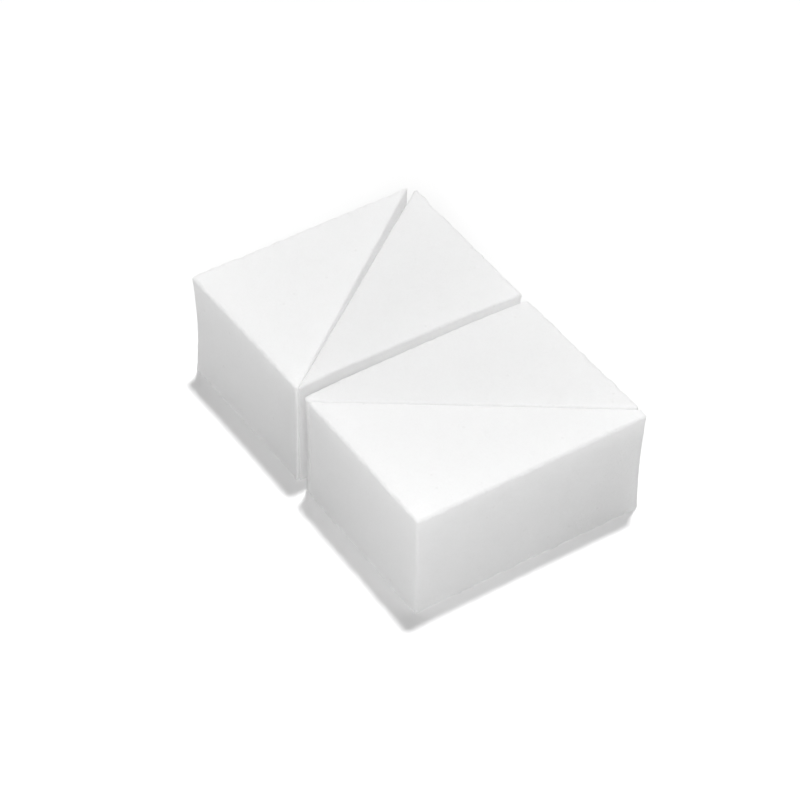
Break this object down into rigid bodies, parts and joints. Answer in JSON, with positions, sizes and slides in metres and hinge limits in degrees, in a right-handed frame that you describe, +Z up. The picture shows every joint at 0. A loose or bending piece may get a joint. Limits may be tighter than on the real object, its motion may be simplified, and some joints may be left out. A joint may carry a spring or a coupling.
{
  "type": "foam wedge set",
  "caption": "Soft white foam cosmetic wedges, right-triangular prisms that lie in pairs as two rectangular blocks, for dabbing and blending make-up or nail colour.",
  "frame": {"origin": "centre of the set's base, on the surface that the wedges lie on", "axes": "+X across the two blocks, +Y along their long sides from front to rear, +Z up through the foam's thickness"},
  "size_m": [0.0782, 0.051, 0.024],
  "materials": {
    "white_foam": "matte"
  },
  "bodies": {
    "left_front": {"left_front_wedge": "white_foam"},
    "left_rear": {"left_rear_wedge": "white_foam"},
    "right_front": {"right_front_wedge": "white_foam"},
    "right_rear": {"right_rear_wedge": "white_foam"}
  },
  "joints": [
    {"name": "left_rear_lift", "type": "slide", "parent": "left_front", "child": "left_rear", "axis": [0, 0, 1], "range_m": [0, 0.03]},
    {"name": "right_front_lift", "type": "slide", "parent": "left_front", "child": "right_front", "axis": [0, 0, 1], "range_m": [0, 0.03]},
    {"name": "right_rear_lift", "type": "slide", "parent": "left_front", "child": "right_rear", "axis": [0, 0, 1], "range_m": [0, 0.03]}
  ]
}
